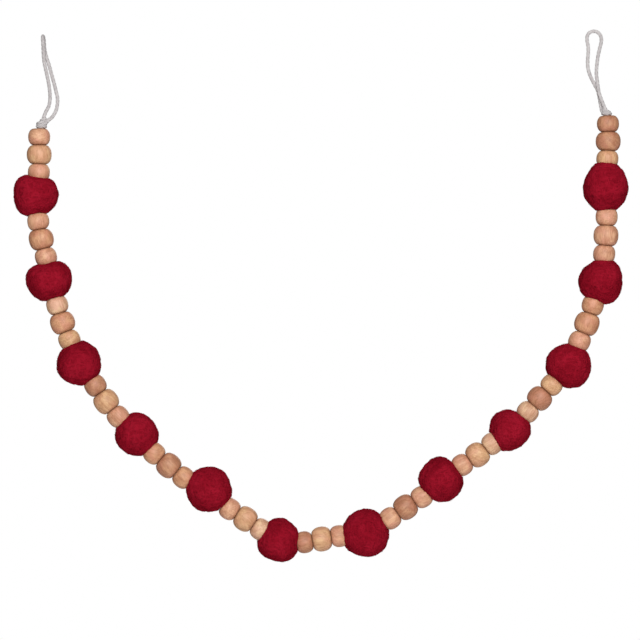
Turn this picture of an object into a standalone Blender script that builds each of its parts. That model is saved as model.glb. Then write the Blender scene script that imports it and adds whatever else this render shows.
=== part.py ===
"""Felt ball garland: twelve wool felt balls and thirteen threes of turned wood beads on one cotton cord.

The garland hangs face on by the loop at each end of its cord. X runs to the right, Z up and Y away
from the viewer. The origin is where a hook bears, under the top of the left loop. Sizes and places
in the tables are in millimetres.
"""
import math
from collections import namedtuple

import bmesh
import bpy
from mathutils import Matrix, Vector

MM = 0.001
GARLAND = "felt_ball_garland"

# Cord, bores and the clearances between pieces
CORD_RADIUS = 0.95
BORE_RADIUS = 1.3
PIECE_GAP = 0.3
CUP_GAP = 0.35
BORE_RUN_OUT = 1.5
MERGE_DISTANCE = 0.00001

# Turned beads: a small one, a large one and a small one make a three
SMALL_WIDTH = 12.4
SMALL_LENGTH = 9.5
LARGE_WIDTH = 14.0
LARGE_LENGTH = 10.8
BEAD_FACE = 0.64
BEAD_ROUNDNESS = 2.4
FACE_RADIUS = BEAD_FACE * SMALL_WIDTH / 2
BEAD_STATIONS = (1.0, 0.76, 0.3, -0.3, -0.76, -1.0)
BEAD_SIDES = 12

# Felt balls: each is cupped where a bead presses into it
BALL_SIDES = 16
BALL_RINGS = 11
CUP_MOUTH = 5.5
LUMP = 0.2
LOBES = 3
CORNERS = 4

# Route of the string, where every fourth piece is a ball
REPEAT = 4
CURVE_STEPS = 24
CORD_SPACING = 4.6

Ball = namedtuple("Ball", "x z heading seat along across lead off boxy three three_at")
Three = namedtuple("Three", "x z tones")
Place = namedtuple("Place", "centre way length")
Knot = namedtuple("Knot", "x z wide tall neck_wide neck_tall neck_shift")
Wave = namedtuple("Wave", "x y z turn")

# Felt balls from the left end. x and z are where the middle of the bore lies, and heading is the
# string's direction there in degrees above +X. seat is the length between the two beads that press
# into the ball, and along and across are its outline's sizes. Its body lies off the bore by lead along
# the string and by off towards the inside of the swag. boxy raises its four corners, and three raises
# three lobes, the first at three_at degrees from the string's direction.
BALLS = (
    Ball(-2.8, -89.2, -92, 18.0, 21.5, 25.6, -0.8, -1.6, 0.40, 0.8, 221),
    Ball(4.9, -136.6, -78, 18.1, 20.1, 26.6, -0.3, -1.4, 0.50, 0.5, 114),
    Ball(21.8, -182.5, -60, 19.7, 22.3, 25.3, -0.4, -1.6, -0.10, 0.4, 26),
    Ball(52.1, -223.4, -46, 18.9, 21.6, 23.6, 0.0, 0.8, 0.10, 0.4, 250),
    Ball(91.7, -256.2, -34, 21.6, 23.5, 24.8, -0.1, 2.9, -0.20, 0.0, 0),
    Ball(134.3, -281.5, -18, 16.9, 21.0, 24.7, -1.4, -1.3, 0.15, 0.5, 216),
    Ball(181.1, -276.1, 18, 21.0, 24.4, 27.1, -0.8, -2.0, 0.10, 0.2, 60),
    Ball(224.3, -249.0, 42, 19.3, 21.8, 25.3, 0.0, 1.0, 0.35, 0.3, 40),
    Ball(262.6, -219.3, 40, 17.4, 20.3, 22.8, -1.1, -0.5, -0.10, 0.4, 200),
    Ball(294.0, -183.3, 58, 19.4, 22.6, 25.4, -0.1, -1.6, -0.10, 0.5, 354),
    Ball(312.4, -135.8, 77, 19.3, 23.4, 24.5, -0.7, -1.4, 0.10, 0.6, 222),
    Ball(316.7, -84.1, 90, 23.0, 26.0, 25.4, 0.4, 0.5, -0.15, 0.2, 0),
)

# Two slow waves that make each ball a little lumpy, in radians a millimetre, and their turn from one
# ball to the next.
WAVES = (
    Wave(0.0, 0.35, 0.22, 2.1),
    Wave(0.31, -0.27, 0.0, 1.3),
)

# Threes of beads from the left end: the middle of the large bead, and the tone of each bead's wood.
THREES = (
    Three(-2.1, -65.7, ("peach", "golden", "peach")),
    Three(-1.1, -113.3, ("peach", "tan", "peach")),
    Three(11.0, -160.2, ("pale", "tan", "golden")),
    Three(35.6, -204.4, ("brown", "golden", "peach")),
    Three(70.7, -240.1, ("tan", "brown", "tan")),
    Three(114.3, -270.3, ("peach", "golden", "pale")),
    Three(156.6, -280.9, ("brown", "golden", "peach")),
    Three(203.7, -263.0, ("peach", "brown", "peach")),
    Three(244.4, -234.3, ("peach", "golden", "pale")),
    Three(278.5, -202.6, ("pale", "brown", "golden")),
    Three(305.6, -160.3, ("peach", "tan", "tan")),
    Three(316.3, -111.2, ("peach", "peach", "peach")),
    Three(317.7, -58.7, ("golden", "brown", "brown")),
)

# The string's two ends, on the outer faces of the first and last beads, and the knots that sit there:
# a wide turn with a narrower one above it, neck_shift to its right.
STRING_START = (-2.2, -51.0)
STRING_END = (317.2, -43.7)
START_HEADING = -90
END_HEADING = 90
KNOT_LEFT = Knot(-0.9, -50.7, 6.6, 4.1, 4.2, 2.3, 1.1)
KNOT_RIGHT = Knot(316.7, -43.4, 6.8, 2.7, 3.2, 2.0, -0.9)
KNOT_SIDES = 12
KNOT_RIDGES = 3
KNOT_RIDGE = 0.08
KNOT_TWIST = 4.0

# Outer side of a knot's two turns from the top down, as shares of the turn's radius and height
NECK_SIDE = ((0.0, 1.0), (0.7, 1.0), (1.0, 0.7), (1.0, 0.0))
TURN_SIDE = ((0.9, 0.85), (1.0, 0.5), (0.95, 0.2), (0.8, 0.0), (0.0, 0.0))

# Hanging loops, from the knot up one strand, round the top and down the other strand to the knot.
LEFT_LOOP = (
    (0.8, 0.0, -43.4),
    (1.6, 0.0, -41.4),
    (3.2, 0.0, -38.4),
    (3.9, 0.0, -34.4),
    (3.7, 0.0, -29.3),
    (2.8, 0.0, -23.7),
    (1.6, -0.2, -18.1),
    (0.7, -0.7, -13.6),
    (0.4, -1.6, -9.7),
    (0.4, -3.1, -6.0),
    (0.3, -4.0, -3.0),
    (0.1, -2.9, -0.2),
    (0.0, 0.0, 0.95),
    (0.1, 2.9, -0.2),
    (0.3, 4.0, -3.0),
    (0.6, 3.1, -6.2),
    (1.5, 1.6, -9.7),
    (2.4, 0.7, -12.5),
    (3.5, 0.3, -15.8),
    (4.7, 0.0, -20.3),
    (6.0, 0.0, -24.8),
    (7.1, 0.0, -29.3),
    (8.1, 0.0, -33.8),
    (7.9, 0.0, -38.3),
    (6.8, 0.0, -41.9),
    (4.8, 0.0, -44.9),
    (3.4, 0.0, -45.9),
)
RIGHT_LOOP = (
    (313.5, 1.2, -38.3),
    (313.2, 1.2, -36.4),
    (312.6, 1.2, -33.3),
    (311.8, 1.2, -29.6),
    (310.1, 0.9, -26.4),
    (308.3, 0.4, -23.1),
    (306.9, 0.1, -19.8),
    (306.1, 0.0, -16.4),
    (306.0, 0.0, -12.5),
    (306.3, 0.0, -8.5),
    (306.3, 0.0, -5.0),
    (305.7, 0.0, -1.8),
    (305.8, 0.0, 1.2),
    (307.2, 0.0, 3.1),
    (309.4, 0.0, 3.75),
    (311.7, 0.0, 3.1),
    (313.3, 0.0, 1.1),
    (313.7, 0.0, -1.8),
    (312.9, 0.0, -5.4),
    (312.1, 0.0, -8.7),
    (311.5, 0.0, -12.5),
    (311.0, 0.0, -17.0),
    (310.9, -0.3, -20.9),
    (311.2, -0.8, -23.7),
    (311.7, -1.1, -27.6),
    (312.3, -1.2, -31.0),
    (313.2, -1.2, -33.8),
    (314.2, -1.1, -36.4),
    (314.9, -0.9, -38.1),
)

# Colours, as red, green and blue in Blender's own linear scale
FELT_RED = (0.27, 0.008, 0.018)
COTTON = (0.70, 0.66, 0.63)
WOOD_TONES = {
    "pale": (0.80, 0.49, 0.33),
    "golden": (0.73, 0.41, 0.25),
    "peach": (0.72, 0.38, 0.24),
    "tan": (0.67, 0.33, 0.20),
    "brown": (0.58, 0.28, 0.17),
}


def clear_scene():
    """Start with an empty scene."""
    for thing in list(bpy.data.objects):
        bpy.data.objects.remove(thing, do_unlink=True)


def plain_material(name, colour, roughness):
    """A matt material of one colour."""
    material = bpy.data.materials.new(name)
    material.use_nodes = True
    shader = material.node_tree.nodes["Principled BSDF"]
    shader.inputs["Base Color"].default_value = (*colour, 1.0)
    shader.inputs["Roughness"].default_value = roughness
    shader.inputs["Metallic"].default_value = 0.0
    return material


def add_object(name, data, material, collection):
    """An object of this mesh or curve, with its own material, in the garland's collection."""
    data.materials.append(material)
    thing = bpy.data.objects.new(name, data)
    collection.objects.link(thing)
    return thing


def smooth_curve(points):
    """A Catmull-Rom curve through the points, as a fine chain of points."""
    points = [Vector(point) for point in points]
    run = [2 * points[0] - points[1], *points, 2 * points[-1] - points[-2]]
    curve = []
    for before, start, end, after in zip(run, run[1:], run[2:], run[3:]):
        for step in range(CURVE_STEPS):
            t = step / CURVE_STEPS
            slope = end - before
            bend = 2 * before - 5 * start + 4 * end - after
            twist = 3 * start - before - 3 * end + after
            curve.append(start + 0.5 * (slope * t + bend * t**2 + twist * t**3))
    return curve + [points[-1]]


def distances(curve):
    """How far along the curve each of its points lies."""
    run = [0.0]
    for start, end in zip(curve, curve[1:]):
        run.append(run[-1] + (end - start).length)
    return run


def point_along(curve, run, distance):
    """The point at this distance along the curve."""
    for number, (low, high) in enumerate(zip(run, run[1:])):
        if distance <= high:
            return curve[number].lerp(curve[number + 1], (distance - low) / (high - low))
    return curve[-1]


def ease(start, start_way, end, end_way):
    """A chain of points that leaves one point and reaches another in the given directions."""
    reach = (end - start).length
    curve = []
    for step in range(CURVE_STEPS):
        t = step / CURVE_STEPS
        leave = (2 * t**3 - 3 * t**2 + 1) * start + (t**3 - 2 * t**2 + t) * reach * start_way
        arrive = (3 * t**2 - 2 * t**3) * end + (t**3 - t**2) * reach * end_way
        curve.append(leave + arrive)
    return curve


def heading_way(degrees):
    """The direction this many degrees above +X."""
    angle = math.radians(degrees)
    return Vector((math.cos(angle), 0.0, math.sin(angle)))


def string_contacts():
    """The points on the string where one piece meets the next, from its left end to its right end.

    The string runs straight through each ball and bends smoothly through each three of beads.
    """
    three_length = 2 * SMALL_LENGTH + LARGE_LENGTH
    shares = (SMALL_LENGTH / three_length, 1 - SMALL_LENGTH / three_length)
    reached, way = Vector((STRING_START[0], 0.0, STRING_START[1])), heading_way(START_HEADING)
    contacts = [reached]
    for number, three in enumerate(THREES):
        if number < len(BALLS):
            ball = BALLS[number]
            next_way = heading_way(ball.heading)
            middle = Vector((ball.x, 0.0, ball.z))
            bore = [middle - next_way * ball.seat / 2, middle + next_way * ball.seat / 2]
        else:
            next_way = heading_way(END_HEADING)
            bore = [Vector((STRING_END[0], 0.0, STRING_END[1]))]
        large = Vector((three.x, 0.0, three.z))
        large_way = (bore[0] - reached).normalized()
        curve = ease(reached, way, large, large_way) + ease(large, large_way, bore[0], next_way) + bore[:1]
        run = distances(curve)
        contacts += [point_along(curve, run, share * run[-1]) for share in shares] + bore
        reached, way = bore[-1], next_way
    return contacts


def seat_places(contacts):
    """The place of each piece on the string, clear of its neighbours.

    Two beads whose faces lean together on the inside of a bend are moved apart by that lean. A felt
    ball needs no such room, because its cups lean with the beads.
    """
    ways = [(end - start).normalized() for start, end in zip(contacts, contacts[1:])]
    is_ball = [number % REPEAT == REPEAT - 1 for number in range(len(ways))]
    backs = [PIECE_GAP / 2]
    for number, (before, after) in enumerate(zip(ways, ways[1:])):
        soft = is_ball[number] or is_ball[number + 1]
        lean = 0.0 if soft else FACE_RADIUS * math.tan(before.angle(after) / 2)
        backs.append(PIECE_GAP / 2 + lean)
    backs.append(PIECE_GAP / 2)
    places = []
    for number, way in enumerate(ways):
        back, front = backs[number], backs[number + 1]
        length = (contacts[number + 1] - contacts[number]).length - back - front
        places.append(Place(contacts[number] + way * (back + length / 2), way, length))
    return places


def stand_on_string(thing, place):
    """Turn a piece's Z axis along the string and its X axis to the inside of the swag."""
    inward = Vector((-place.way.z, 0.0, place.way.x))
    turn = Matrix((inward, Vector((0.0, -1.0, 0.0)), place.way)).transposed()
    thing.location = place.centre * MM
    thing.rotation_euler = turn.to_euler()


def bead_radius(width, station):
    """A turned bead's radius at a station from -1 to 1 along it."""
    return width / 2 * math.sqrt(1 - (1 - BEAD_FACE**2) * abs(station) ** BEAD_ROUNDNESS)


def turned_shape(name, profile, material, collection):
    """A solid turned about Z from its profile, given from the top down its outer side."""
    points = [(radius * MM, 0.0, height * MM) for radius, height in profile]
    edges = [(number, number + 1) for number in range(len(points) - 1)]
    if profile[0][0] > 0.0:
        edges.append((len(points) - 1, 0))
    mesh = bpy.data.meshes.new(name)
    mesh.from_pydata(points, edges, [])
    thing = add_object(name, mesh, material, collection)
    turn = thing.modifiers.new("turned", "SCREW")
    turn.axis = "Z"
    turn.steps = turn.render_steps = BEAD_SIDES
    turn.use_smooth_shade = True
    turn.use_merge_vertices = profile[0][0] == 0.0
    turn.merge_threshold = MERGE_DISTANCE
    return thing


def bead_outline(width, length):
    """The outer side of a bead, from its top face to its bottom face."""
    return [(bead_radius(width, station), station * length / 2) for station in BEAD_STATIONS]


def bead_profile(width, length):
    """A barrel-shaped bead's section: its outer side, its flat ends and its bore."""
    return bead_outline(width, length) + [(BORE_RADIUS, -length / 2), (BORE_RADIUS, length / 2)]


def cup_profile(length):
    """The section of the hollow that a small bead of this length presses into a felt ball."""
    outline = [(radius + CUP_GAP, height) for radius, height in bead_outline(SMALL_WIDTH, length)]
    half = length / 2 + PIECE_GAP
    return [(0.0, half), (outline[0][0], half), *outline[1:-1], (outline[-1][0], -half), (0.0, -half)]


def felt_offset(ball, number, point):
    """How far a point of a felt ball is moved by its corners, lobes and lumps, and off its bore."""
    facing = math.hypot(point.x, point.z) / point.length
    angle = math.atan2(point.x, point.z)
    corners = -ball.boxy * math.cos(CORNERS * angle)
    lobes = ball.three * math.cos(LOBES * (angle - math.radians(ball.three_at)))
    lumps = sum(LUMP * math.sin(Vector(wave[:3]).dot(point) + wave.turn * number) for wave in WAVES)
    outward = point.normalized() * (facing**2 * (corners + lobes) + lumps)
    return outward + Vector((ball.off, 0.0, ball.lead))


def build_felt_body(name, ball, number, material, collection):
    """The round body of a felt ball before it is strung, a little out of round."""
    side = ball.across / 2
    pole = ball.along / 2 / math.sqrt(1 - (CUP_MOUTH / side) ** 2)
    shape = bmesh.new()
    bmesh.ops.create_uvsphere(shape, u_segments=BALL_SIDES, v_segments=BALL_RINGS, radius=1.0)
    for vertex in shape.verts:
        point = Vector((vertex.co.x * side, vertex.co.y * side, vertex.co.z * pole))
        vertex.co = (point + felt_offset(ball, number, point)) * MM
    mesh = bpy.data.meshes.new(name)
    shape.to_mesh(mesh)
    shape.free()
    mesh.shade_smooth()
    return add_object(name, mesh, material, collection)


def press_into(body, cutter):
    """Cut the body with a cutter, which stays in the scene as a wire shape."""
    cutter.hide_render = True
    cutter.display_type = "WIRE"
    cut = body.modifiers.new(cutter.name, "BOOLEAN")
    cut.operation = "DIFFERENCE"
    cut.solver = "EXACT"
    cut.object = cutter


def build_ball(number, places, material, collection, cutters):
    """A felt ball in its place, cupped by the bead on each side of it and bored for the cord."""
    name = f"felt_ball_{number + 1:02d}"
    before, place, after = places
    ball = build_felt_body(name, BALLS[number], number, material, collection)
    stand_on_string(ball, place)
    for side, bead_place in (("before", before), ("after", after)):
        press = turned_shape(f"{name}_bead_{side}", cup_profile(bead_place.length), material, cutters)
        stand_on_string(press, bead_place)
        press_into(ball, press)
    half = place.length / 2 + BORE_RUN_OUT
    outline = [(0.0, half), (BORE_RADIUS, half), (BORE_RADIUS, -half), (0.0, -half)]
    bore = turned_shape(f"{name}_bore", outline, material, cutters)
    stand_on_string(bore, place)
    press_into(ball, bore)


def build_knot(name, knot, material, collection):
    """A hard knot: a wide ridged turn that sits on the end bead, with a narrower turn above it."""
    profile = [(x * knot.neck_wide / 2, knot.tall + z * knot.neck_tall) for x, z in NECK_SIDE]
    profile += [(x * knot.wide / 2, z * knot.tall) for x, z in TURN_SIDE]
    shape = bmesh.new()
    line = [shape.verts.new((radius, 0.0, height)) for radius, height in profile]
    edges = [shape.edges.new(pair) for pair in zip(line, line[1:])]
    bmesh.ops.spin(
        shape, geom=line + edges, cent=(0, 0, 0), axis=(0, 0, 1), angle=2 * math.pi,
        steps=KNOT_SIDES, use_merge=True,
    )
    for vertex in shape.verts:
        angle = math.atan2(vertex.co.y, vertex.co.x)
        rise = vertex.co.z / (knot.tall + knot.neck_tall)
        ridge = 1 - KNOT_RIDGE * (1 + math.cos(KNOT_RIDGES * angle + KNOT_TWIST * rise))
        vertex.co.x = vertex.co.x * ridge + knot.neck_shift * min(vertex.co.z / knot.tall, 1.0)
        vertex.co.y *= ridge
        vertex.co *= MM
    bmesh.ops.remove_doubles(shape, verts=shape.verts, dist=MERGE_DISTANCE)
    bmesh.ops.recalc_face_normals(shape, faces=shape.faces)
    mesh = bpy.data.meshes.new(name)
    shape.to_mesh(mesh)
    shape.free()
    mesh.shade_smooth()
    thing = add_object(name, mesh, material, collection)
    thing.location = (knot.x * MM, 0.0, knot.z * MM)


def build_cord(name, points, material, collection):
    """A round cord with flat ends through the points."""
    curve = bpy.data.curves.new(name, "CURVE")
    curve.dimensions = "3D"
    curve.bevel_depth = CORD_RADIUS * MM
    curve.bevel_resolution = 2
    curve.use_fill_caps = True
    spline = curve.splines.new("POLY")
    spline.points.add(len(points) - 1)
    for target, point in zip(spline.points, points):
        target.co = (*(point * MM), 1.0)
    return add_object(name, curve, material, collection)


def even_points(route):
    """Points a little over two cord diameters apart on the smooth curve through a route."""
    curve = smooth_curve(route)
    run = distances(curve)
    count = round(run[-1] / CORD_SPACING)
    return [point_along(curve, run, run[-1] * step / count) for step in range(count + 1)]


def build_string(contacts, material, collection):
    """The stretch of cord that runs through every bore, straight inside each piece."""
    inset = PIECE_GAP / 2
    first = contacts[0] + (contacts[1] - contacts[0]).normalized() * inset
    last = contacts[-1] + (contacts[-2] - contacts[-1]).normalized() * inset
    return build_cord("stringing_cord", [first, *contacts[1:-1], last], material, collection)


def build_string_of_pieces(contacts, felt, woods, collection, cutters):
    """Every bead and ball in its place along the string."""
    places = seat_places(contacts)
    bead_number = 0
    for number, three in enumerate(THREES):
        first = REPEAT * number
        for index, (width, tone) in enumerate(zip((SMALL_WIDTH, LARGE_WIDTH, SMALL_WIDTH), three.tones)):
            bead_number += 1
            place = places[first + index]
            profile = bead_profile(width, place.length)
            bead = turned_shape(f"wood_bead_{bead_number:02d}", profile, woods[tone], collection)
            stand_on_string(bead, place)
        if number < len(BALLS):
            build_ball(number, places[first + 2 : first + 5], felt, collection, cutters)


def main():
    clear_scene()
    collection = bpy.data.collections.new(GARLAND)
    cutters = bpy.data.collections.new("cutters")
    for group in (collection, cutters):
        bpy.context.scene.collection.children.link(group)
    felt = plain_material("wool_felt", FELT_RED, 0.95)
    cotton = plain_material("cotton_cord", COTTON, 0.9)
    woods = {tone: plain_material(f"wood_{tone}", colour, 0.6) for tone, colour in WOOD_TONES.items()}
    contacts = string_contacts()
    build_string(contacts, cotton, collection)
    build_string_of_pieces(contacts, felt, woods, collection, cutters)
    build_knot("end_knot_left", KNOT_LEFT, cotton, collection)
    build_knot("end_knot_right", KNOT_RIGHT, cotton, collection)
    build_cord("hanging_loop_left", even_points(LEFT_LOOP), cotton, collection)
    build_cord("hanging_loop_right", even_points(RIGHT_LOOP), cotton, collection)


main()
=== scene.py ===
import math
import random
from collections import namedtuple

import bmesh
import bpy
from bpy.props import FloatProperty, FloatVectorProperty, IntProperty, PointerProperty
from mathutils import Matrix, Vector, noise


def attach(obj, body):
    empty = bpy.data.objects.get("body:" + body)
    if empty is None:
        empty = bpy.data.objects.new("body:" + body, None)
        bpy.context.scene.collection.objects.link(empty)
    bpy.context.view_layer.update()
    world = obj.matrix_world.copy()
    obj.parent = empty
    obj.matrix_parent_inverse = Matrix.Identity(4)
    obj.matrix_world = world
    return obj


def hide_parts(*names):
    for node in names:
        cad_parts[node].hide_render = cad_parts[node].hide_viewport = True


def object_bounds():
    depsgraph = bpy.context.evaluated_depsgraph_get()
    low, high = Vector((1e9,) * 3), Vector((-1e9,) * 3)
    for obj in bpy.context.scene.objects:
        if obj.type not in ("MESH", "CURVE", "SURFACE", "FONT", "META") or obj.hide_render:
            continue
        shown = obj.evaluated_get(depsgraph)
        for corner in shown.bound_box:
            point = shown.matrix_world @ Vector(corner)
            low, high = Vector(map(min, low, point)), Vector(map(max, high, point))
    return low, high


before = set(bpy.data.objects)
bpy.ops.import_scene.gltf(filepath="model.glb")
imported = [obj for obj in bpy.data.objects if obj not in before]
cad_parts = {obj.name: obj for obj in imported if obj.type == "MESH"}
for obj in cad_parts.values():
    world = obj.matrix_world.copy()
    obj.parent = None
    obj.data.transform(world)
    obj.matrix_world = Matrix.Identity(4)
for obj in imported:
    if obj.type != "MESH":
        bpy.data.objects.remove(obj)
CAD_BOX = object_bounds()

bl_info = {
    "name": "Felt ball garland",
    "version": (1, 0, 0),
    "blender": (4, 5, 0),
    "location": "3D View > Sidebar > Garland",
    "description": "Dresses a string of wool felt balls and turned wood beads",
    "category": "Object",
}

MM = 0.001
TAU = 2 * math.pi
BODY = "root"
MERGE = 0.000001

# The string and its beads, in millimetres and degrees, as the solids have them
CORD_RADIUS = 0.95
BORE_RADIUS = 1.3
SMALL_LENGTH = 9.5
LARGE_LENGTH = 10.8
BEAD_FACE = 0.64
BEAD_ROUNDNESS = 2.4
START_HEADING = -90
END_HEADING = 90
STRING_START = (-2.2, -51.0)
STRING_END = (317.2, -43.7)

# A ball and the three beads after it repeat along the string
REPEAT = 4
CURVE_STEPS = 24

# Outlines of the felt balls: where the cups of the beads end, and how lumpy, lobed and boxy a ball is
CUP_MOUTH = 5.5
LUMP = 0.2
LOBES = 3
CORNERS = 4

# How far the grain of a bead may lean off its string, as an angle
GRAIN_SWAY = 0.3

# Winding of a knot: the angle that it starts at, and how far its turns tilt
KNOT_START = -2.4
KNOT_TILT = 0.12
CORE_SHARES = (0.0, 0.3, 0.6, 0.9)

# Plies of the cord: how far apart the points of a loop's route lie in millimetres, then the spacing of a
# ply's rings in metres and the faces round it
ROUTE_SPACING = 0.8
PLY_STEP = 0.0005
PLY_SIDES = 9

# Three ways that the felt's matted streaks lie: a turn, and a scale that is small along the streak
FELT_STREAKS = (
    ((0.5, 0.3, 0.7), (0.13, 1.0, 1.0)),
    ((-0.6, 0.9, -0.4), (1.0, 1.0, 0.13)),
    ((0.4, -0.9, 1.9), (0.16, 1.0, 1.0)),
)

# The brown painted on a bead's ends: partly wood that hands and cord have darkened, partly painted shade
# where the beads meet
BEAD_END_STAIN_AND_SHADE = (0.22, 0.09, 0.04)

# How a wood's own colour turns in its deep grain, its light grain and its rosy patches, and a cord's greyer
# colour, in grey patches and as painted shade between its yarns
WOOD_DEEP = (0.73, 0.62, 0.56)
WOOD_LIGHT = (1.15, 1.23, 1.19)
WOOD_ROSY = (1.04, 0.90, 1.00)
WOOD_PORE = 0.62
COTTON_GREY_AND_SHADE = (0.76, 0.74, 0.75)
FLOOR_DIM = 0.97

# Faces of a felt body, and its hand-felted roughness: how fine each sort of lump is, and how high
BODY_SIDES = 120
BODY_RINGS = 92
ROUGHNESS = (
    (0.28, 0.38),
    (0.65, 0.21),
    (1.50, 0.10),
)

# How close the dressed pieces lie, how softly a cup's lip turns, and how far wool is pressed before it
# carries no loose fibres, in millimetres
TOUCH = 0.02
CUP_GAP = 0.06
SOFT_EDGE = 0.7
PRESSED = 0.3
POLE = 0.99999

# Fibres: a square metre in square centimetres, and the least and most of their tilt and size
CENTIMETRES = 10000.0
FIBRE_TILT = ((-0.3, -0.16, 0.0), (0.3, 0.16, TAU))
FIBRE_SIZE = ((0.5, 0.5, 0.4), (1.3, 1.3, 1.3))

Ball = namedtuple("Ball", "x z heading seat along across lead off boxy three three_at")
Three = namedtuple("Three", "x z tones")
Wave = namedtuple("Wave", "x y z turn")
Wrap = namedtuple("Wrap", "turn up reach shift")
Seat = namedtuple("Seat", "centre way length start_lean end_lean")

# Felt balls from the left end, in millimetres and degrees: the middle of the bore, the string's heading
# there, the length between the beads on each side, the outline along and across the string, how far the
# body lies off the bore, and how far it is boxy or three-lobed.
BALLS = (
    Ball(-2.8, -89.2, -92, 18.0, 21.5, 25.6, -0.8, -1.6, 0.40, 0.8, 221),
    Ball(4.9, -136.6, -78, 18.1, 20.1, 26.6, -0.3, -1.4, 0.50, 0.5, 114),
    Ball(21.8, -182.5, -60, 19.7, 22.3, 25.3, -0.4, -1.6, -0.10, 0.4, 26),
    Ball(52.1, -223.4, -46, 18.9, 21.6, 23.6, 0.0, 0.8, 0.10, 0.4, 250),
    Ball(91.7, -256.2, -34, 21.6, 23.5, 24.8, -0.1, 2.9, -0.20, 0.0, 0),
    Ball(134.3, -281.5, -18, 16.9, 21.0, 24.7, -1.4, -1.3, 0.15, 0.5, 216),
    Ball(181.1, -276.1, 18, 21.0, 24.4, 27.1, -0.8, -2.0, 0.10, 0.2, 60),
    Ball(224.3, -249.0, 42, 19.3, 21.8, 25.3, 0.0, 1.0, 0.35, 0.3, 40),
    Ball(262.6, -219.3, 40, 17.4, 20.3, 22.8, -1.1, -0.5, -0.10, 0.4, 200),
    Ball(294.0, -183.3, 58, 19.4, 22.6, 25.4, -0.1, -1.6, -0.10, 0.5, 354),
    Ball(312.4, -135.8, 77, 19.3, 23.4, 24.5, -0.7, -1.4, 0.10, 0.6, 222),
    Ball(316.7, -84.1, 90, 23.0, 26.0, 25.4, 0.4, 0.5, -0.15, 0.2, 0),
)
WAVES = (
    Wave(0.0, 0.35, 0.22, 2.1),
    Wave(0.31, -0.27, 0.0, 1.3),
)

# Threes of beads from the left end: the middle of the large bead, and the tone of each bead's wood.
THREES = (
    Three(-2.1, -65.7, ("peach", "golden", "peach")),
    Three(-1.1, -113.3, ("peach", "tan", "peach")),
    Three(11.0, -160.2, ("pale", "tan", "golden")),
    Three(35.6, -204.4, ("brown", "golden", "peach")),
    Three(70.7, -240.1, ("tan", "brown", "tan")),
    Three(114.3, -270.3, ("peach", "golden", "pale")),
    Three(156.6, -280.9, ("brown", "golden", "peach")),
    Three(203.7, -263.0, ("peach", "brown", "peach")),
    Three(244.4, -234.3, ("peach", "golden", "pale")),
    Three(278.5, -202.6, ("pale", "brown", "golden")),
    Three(305.6, -160.3, ("peach", "tan", "tan")),
    Three(316.3, -111.2, ("peach", "peach", "peach")),
    Three(317.7, -58.7, ("golden", "brown", "brown")),
)

# The foot of each knot, on the outer face of the first and last beads
KNOT_FEET = {"left": (-0.9, 0.0, -50.95), "right": (316.7, 0.0, -43.65)}

# How the cord winds up each knot: turns so far, height above the foot, reach from the knot's middle and
# how far that middle lies off the foot.
KNOT_WRAPS = {
    "left": (
        Wrap(0.0, 0.95, 2.1, -0.1),
        Wrap(1.0, 1.35, 2.2, 0.0),
        Wrap(2.0, 3.10, 2.1, 0.1),
        Wrap(2.5, 4.20, 1.6, 0.7),
        Wrap(3.0, 4.90, 1.2, 1.2),
        Wrap(3.5, 5.30, 0.7, 1.2),
    ),
    "right": (
        Wrap(0.0, 0.95, 2.1, -0.1),
        Wrap(1.0, 1.30, 2.0, -0.2),
        Wrap(1.7, 2.50, 1.3, -0.7),
        Wrap(2.4, 3.50, 0.6, -1.3),
        Wrap(3.1, 4.20, 0.4, -1.6),
    ),
}

# How the two strands of each loop go on into its knot
KNOT_ENTRIES = {
    "left": (
        ((0.8, 0.0, -43.3), (0.2, 0.0, -45.2), (0.3, -0.2, -46.8), (0.0, 0.0, -48.6)),
        (
            (3.4, 0.0, -45.8), (2.5, -0.3, -47.0), (1.4, -1.1, -47.9), (-0.4, -1.5, -48.3),
            (-1.6, -0.9, -48.7),
        ),
    ),
    "right": (
        ((313.5, 1.2, -38.2), (313.8, 1.1, -39.6), (314.1, 0.8, -41.0), (314.9, 0.3, -42.3)),
        (
            (314.9, -0.9, -38.0), (315.4, -0.9, -39.3), (316.0, -1.0, -40.5), (316.9, -1.2, -41.6),
            (318.0, -0.9, -42.3),
        ),
    ),
}

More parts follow.
